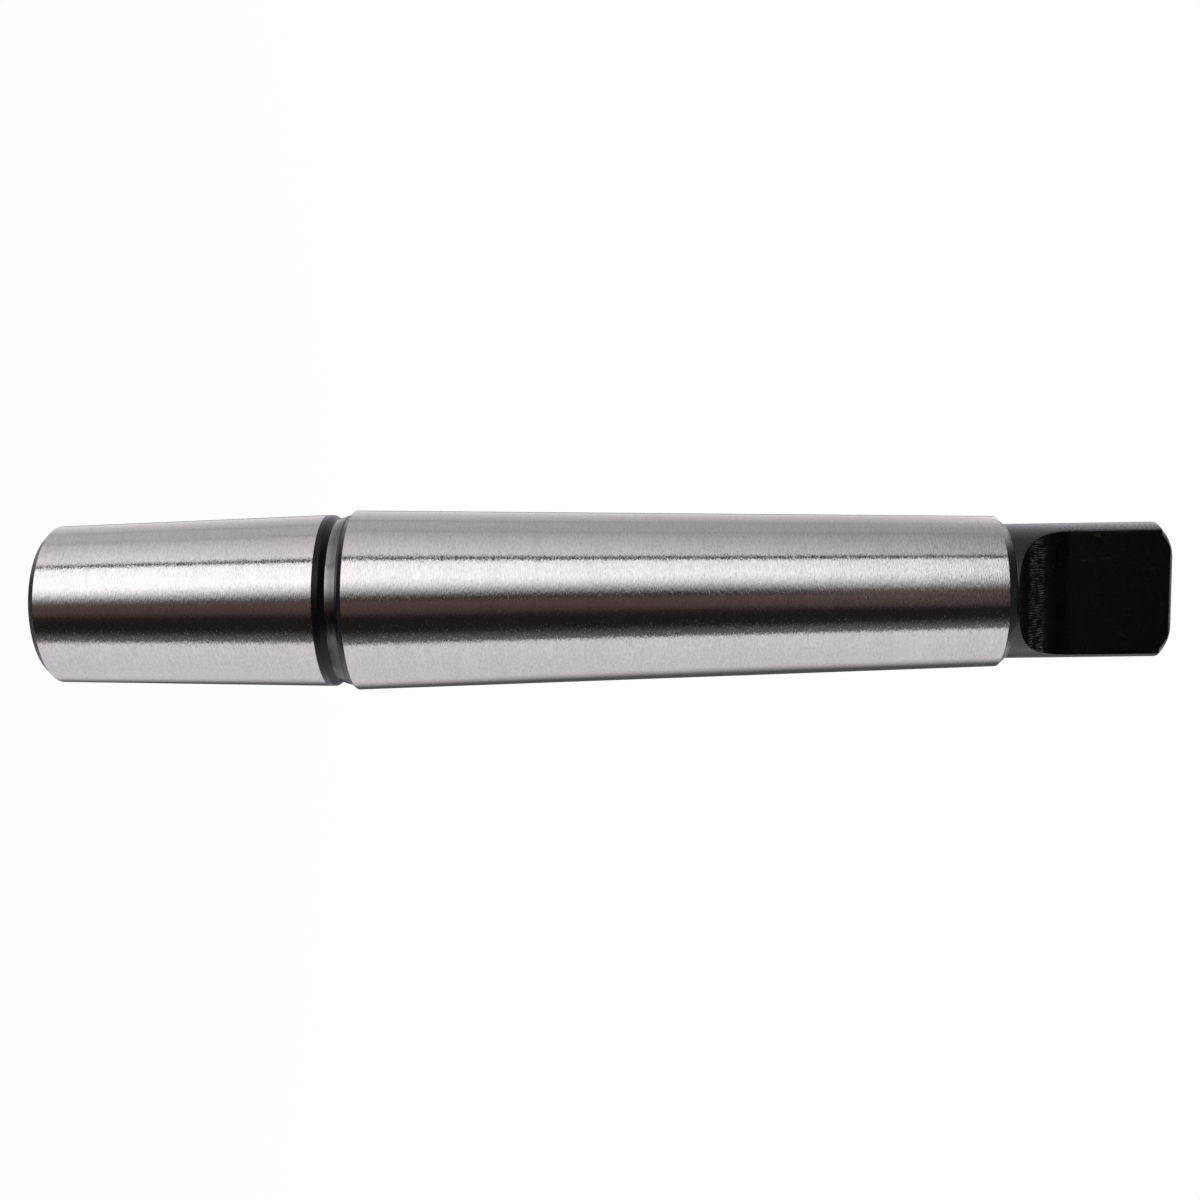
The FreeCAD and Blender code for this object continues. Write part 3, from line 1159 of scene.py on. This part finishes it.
@dataclass(frozen=True)
class PhotoCamera:
    """The camera, set where a pinhole fitted to the photograph's outlines stands.

    Its reach from the axis, its height and its sensor are in millimetres, its clip distances in metres
    and its turns in radians.
    """

    reach: float = 145.165
    height: float = 60.885
    focal_pixels: float = 1454.38
    image_side: float = 1200.0
    sensor: float = 36.0
    clip: Point = (0.01, 20.0)
    pan: float = 0.0406
    pitch: float = -0.0023
    roll: float = -0.0141
    swing: float = -0.118

    def build(self) -> bpy.types.Object:
        """Makes the camera, and makes it the scene's own.

        Returns:
            The camera.
        """
        right, up, back = Vector((0, 0, 1)), Vector((-1, 0, 0)), Vector((0, -1, 0))
        turn = Quaternion(up, self.pan)
        right, back = turn @ right, turn @ back
        turn = Quaternion(right, self.pitch)
        up, back = turn @ up, turn @ back
        turn = Quaternion(back, self.roll)
        right, up = turn @ right, turn @ up
        swing = Matrix.Rotation(self.swing, 4, "Z")
        stand = Matrix((right, up, back)).transposed().to_4x4()
        stand.translation = Vector((0, -self.reach, self.height)) * MILLIMETRE
        data = bpy.data.cameras.new("photo_camera")
        data.sensor_width = self.sensor
        data.lens = self.focal_pixels * self.sensor / self.image_side
        data.clip_start, data.clip_end = self.clip
        camera = bpy.data.objects.new("photo_camera", data)
        camera.matrix_world = swing @ stand
        bpy.context.scene.collection.objects.link(camera)
        bpy.context.scene.camera = camera
        return camera

    @property
    def bearing(self) -> float:
        """The direction of the camera from the axis, as an angle about +Z."""
        return self.swing - math.pi / 2


@dataclass(frozen=True)
class Panel:
    """One upright panel of the studio, which runs along the arbor.

    Its start and end are in degrees round the axis, from the camera's side towards -X. Its light goes
    from the first level at its start to the second at its end. It grows by the share rise for each
    metre of height, within rise_heights. Each feather is the width of a soft edge in degrees. Each
    lean is how many degrees an edge swings for each metre of height, within lean_heights. The panel
    goes out between the two heights of fade, and comes in between the two of foot. Heights are in
    metres.
    """

    start: float
    end: float
    levels: Point
    feathers: Point = (3.0, 3.0)
    tint: Colour = (1.0, 1.0, 1.0)
    rise: float = 0.0
    rise_heights: Point = (-0.3, 0.3)
    lean: Point = (0.0, 0.0)
    lean_heights: Point = (-0.3, 0.12)
    fade: Point | None = None
    foot: Point | None = None

    def cover(self, angle: float, height: float) -> float:
        """Finds how much of the panel is seen at a place.

        Args:
            angle: The angle in degrees.
            height: The height in metres.

        Returns:
            The share from nought to one, soft at both edges.
        """
        reach = held_between(height, self.lean_heights)
        start, end = self.start + self.lean[0] * reach, self.end + self.lean[1] * reach
        share = smooth_step((angle - start) / self.feathers[0] + 0.5)
        share *= smooth_step((end - angle) / self.feathers[1] + 0.5)
        if self.fade is not None:
            share *= smooth_step((self.fade[1] - height) / (self.fade[1] - self.fade[0]))
        if self.foot is not None:
            share *= smooth_step((height - self.foot[0]) / (self.foot[1] - self.foot[0]))
        return share

    def colour(self, angle: float, height: float) -> Vector:
        """Finds the panel's light at a place.

        Args:
            angle: The angle in degrees.
            height: The height in metres.

        Returns:
            Its red, green and blue.
        """
        share = held_between((angle - self.start) / (self.end - self.start), (0.0, 1.0))
        level = self.levels[0] + (self.levels[1] - self.levels[0]) * share
        return Vector(self.tint) * level * (1.0 + self.rise * held_between(height, self.rise_heights))


# The light beyond the softbox and round the back, brighter high up behind the arbor.
BACK_LIGHTS = (
    Panel(53.0, 97.0, (1.06, 0.6), (1.0, 6.0), rise=-1.0, fade=(0.24, 0.4)),
    Panel(97.0, 122.0, (0.6, 0.6), (6.0, 8.0), rise=-0.6),
    Panel(122.0, 163.0, (0.62, 0.95), (8.0, 8.0), rise=-0.3),
    Panel(116.0, 163.0, (0.8, 1.7), (10.0, 8.0), foot=(0.2, 0.3)),
    Panel(-181.0, -150.0, (1.6, 1.6), foot=(0.4, 0.6)),
    Panel(150.0, 181.0, (1.6, 1.6), foot=(0.4, 0.6)),
)

# The light on the other side, whose back edge leans.
SIDE_LIGHTS = (Panel(-136.5, -57.2, (0.88, 1.03), (28.0, 2.0), lean=(42.0, 0.0)),)

# The dark front of the room, with a glow at its edge, a warm strip and two lighter patches higher up.
DARK_FRONT = (
    Panel(-56.8, 53.0, (0.022, 0.022), (3.6, 4.0), (1.0, 0.8, 0.76)),
    Panel(-55.6, -42.0, (0.18, 0.03), (6.0, 8.0)),
    Panel(-18.5, -0.5, (0.09, 0.145), (10.0, 8.0), (1.0, 0.66, 0.58), fade=(0.24, 0.29)),
    Panel(
        -21.0,
        8.0,
        (0.17, 0.3),
        (8.0, 8.0),
        (1.0, 0.76, 0.71),
        fade=(0.25, 0.29),
        foot=(0.168, 0.25),
    ),
    Panel(6.5, 40.0, (0.6, 0.6), (16.0, 4.0), fade=(0.25, 0.29), foot=(0.14, 0.25)),
)

# The softbox beside the camera, and the thin dark gap at its edge.
SOFTBOX = (
    Panel(
        15.0,
        52.8,
        (1.8, 1.5),
        (29.0, 1.0),
        (0.985, 1.0, 0.975),
        rise=-0.57,
        lean=(15.0, -8.0),
        lean_heights=(-0.3, 0.05),
        fade=(0.29, 0.36),
        foot=(-0.85, -0.7),
    ),
    Panel(
        50.8,
        56.1,
        (0.003, 0.003),
        (0.4, 0.4),
        lean=(-8.0, -8.0),
        lean_heights=(-0.3, 0.05),
        fade=(0.24, 0.4),
    ),
)


@dataclass(frozen=True)
class StudioDrum:
    """Soft light panels that stand round the arbor in a drum, each laid over the ones before it.

    Only the light and the reflections see them. Each lid ring is a share of the drum's radius and the
    level of its light.
    """

    camera_bearing: float
    radius: float = 0.6
    half_height: float = 0.9
    columns: int = 360
    rows: int = 60
    lid_rings: tuple[Point, ...] = ((0.999, 0.1), (0.72, 0.07), (0.02, 0.07))
    wall: Panel = Panel(-181.0, 181.0, (0.1, 0.1))
    panels: tuple[Panel, ...] = (*BACK_LIGHTS, *SIDE_LIGHTS, *DARK_FRONT, *SOFTBOX)

    def light(self, angle: float, height: float) -> Vector:
        """Finds the light of the drum's wall at a place.

        Args:
            angle: The angle from the camera's side, in degrees.
            height: The height in metres.

        Returns:
            Its red, green and blue.
        """
        colour = self.wall.colour(angle, height)
        for panel in self.panels:
            share = panel.cover(angle, height)
            colour = colour.lerp(panel.colour(angle, height), share)
        return colour

    def build(self) -> bpy.types.Object:
        """Builds the wall and the two lids.

        Returns:
            The drum.
        """
        mesh = bmesh.new()
        layer = mesh.verts.layers.float_color.new("light")
        heights = [self.half_height * (2 * row / self.rows - 1) for row in range(self.rows + 1)]
        angles = [-180.0 + 360.0 * column / self.columns for column in range(self.columns)]
        rows = []
        for height in heights:
            row = []
            for angle in angles:
                bearing = self.camera_bearing - math.radians(angle)
                across = Vector((math.cos(bearing), math.sin(bearing), 0.0)) * self.radius
                vert = mesh.verts.new(across + Vector((0.0, 0.0, height)))
                vert[layer] = (*self.light(angle, height), 1.0)
                row.append(vert)
            rows.append(row)
        for low, high in zip(rows, rows[1:]):
            self.join(mesh, low, high)
        for rim in (rows[0], rows[-1]):
            self.close(mesh, layer, rim)
        data = bpy.data.meshes.new("studio_drum")
        mesh.to_mesh(data)
        mesh.free()
        data.materials.append(self.material())
        drum = bpy.data.objects.new("studio_drum", data)
        bpy.context.scene.collection.objects.link(drum)
        drum.visible_camera = False
        return drum

    def join(self, mesh: bmesh.types.BMesh, low: list[Vert], high: list[Vert]) -> None:
        """Joins two rows of points all the way round.

        Args:
            mesh: The mesh.
            low: The first row.
            high: The second row.
        """
        for column in range(self.columns):
            after = (column + 1) % self.columns
            mesh.faces.new((low[column], low[after], high[after], high[column]))

    def close(self, mesh: bmesh.types.BMesh, layer: bmesh.types.BMLayerItem, rim: list[Vert]) -> None:
        """Closes one end of the drum with a lid that is dim in its middle.

        Args:
            mesh: The mesh.
            layer: The layer that holds the light.
            rim: The points of the lid's rim.
        """
        low = rim
        for share, level in self.lid_rings:
            row = []
            for vert in rim:
                made = mesh.verts.new((vert.co.x * share, vert.co.y * share, vert.co.z))
                made[layer] = (level, level, level, 1.0)
                row.append(made)
            self.join(mesh, low, row)
            low = row
        mesh.faces.new(low)

    def material(self) -> bpy.types.Material:
        """Builds the light of the panels, as the mesh holds it.

        Returns:
            The material.
        """
        sheet = ShaderSheet("panel_light")
        light = sheet.attribute("light", "Color")
        glow = sheet.node("ShaderNodeEmission", Color=light, Strength=1.0)
        return sheet.finish(glow.outputs[0])


@dataclass(frozen=True)
class Floor:
    """A pale round floor that fades into the white behind it and keeps the arbor's shadow."""

    radius: float = 0.42
    drop: float = 0.00005
    columns: int = 96
    colour: Colour = (0.9, 0.9, 0.9)
    glow_share: Point = (0.98, 1.0)
    fade: Point = (0.03, 0.2)

    def build(self) -> bpy.types.Object:
        """Builds the floor.

        Returns:
            The floor.
        """
        mesh = bmesh.new()
        bmesh.ops.create_circle(
            mesh, cap_ends=True, cap_tris=True, segments=self.columns, radius=self.radius
        )
        data = bpy.data.meshes.new("floor")
        mesh.to_mesh(data)
        mesh.free()
        data.materials.append(self.material())
        floor = bpy.data.objects.new("floor", data)
        floor.location = (0.0, 0.0, -self.drop)
        bpy.context.scene.collection.objects.link(floor)
        floor.visible_glossy = False
        return floor

    def material(self) -> bpy.types.Material:
        """Builds the floor's material, pale paint that is seen as white.

        Returns:
            The material.
        """
        sheet = ShaderSheet("pale_floor")
        place = sheet.place()
        reach = sheet.tree.nodes.new("ShaderNodeVectorMath")
        reach.operation = "LENGTH"
        sheet.feed(reach.inputs[0], place)
        share = sheet.spread(reach.outputs["Value"], self.fade, self.glow_share, smooth=True)
        paint = sheet.node("ShaderNodeBsdfDiffuse", Color=(*self.colour, 1.0))
        glow = sheet.node("ShaderNodeEmission", Color=(1.0, 1.0, 1.0, 1.0), Strength=1.0)
        shown = sheet.math("MULTIPLY", share, seen_directly(sheet))
        mixed = sheet.tree.nodes.new("ShaderNodeMixShader")
        for target, value in zip(mixed.inputs, (shown, paint.outputs[0], glow.outputs[0])):
            sheet.feed(target, value)
        return sheet.finish(mixed.outputs[0])


def seen_directly(sheet: ShaderSheet) -> Socket:
    """Tells camera, glossy and transmission rays from the others.

    Args:
        sheet: The material's sheet.

    Returns:
        One for those rays and nought for the others.
    """
    path = sheet.tree.nodes.new("ShaderNodeLightPath").outputs
    mirrored = sheet.math("MAXIMUM", path["Is Glossy Ray"], path["Is Transmission Ray"])
    return sheet.math("MAXIMUM", path["Is Camera Ray"], mirrored)


def light_world(level: float = 1.0) -> None:
    """Makes the plain white world.

    Args:
        level: Its strength.
    """
    world = bpy.data.worlds.new("white_world")
    world.use_nodes = True
    backdrop = world.node_tree.nodes["Background"]
    backdrop.inputs["Color"].default_value = (1.0, 1.0, 1.0, 1.0)
    backdrop.inputs["Strength"].default_value = level
    bpy.context.scene.world = world


def main() -> None:
    """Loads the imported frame, builds the arbor and stages it."""
    logging.basicConfig(level=logging.INFO, format="%(name)s: %(message)s")
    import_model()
    ChuckArbor().build()
    camera = PhotoCamera()
    camera.build()
    StudioDrum(camera.bearing).build()
    Floor().build()
    light_world()
    bpy.context.scene.view_settings.view_transform = "Standard"


if __name__ == "__main__":
    main()
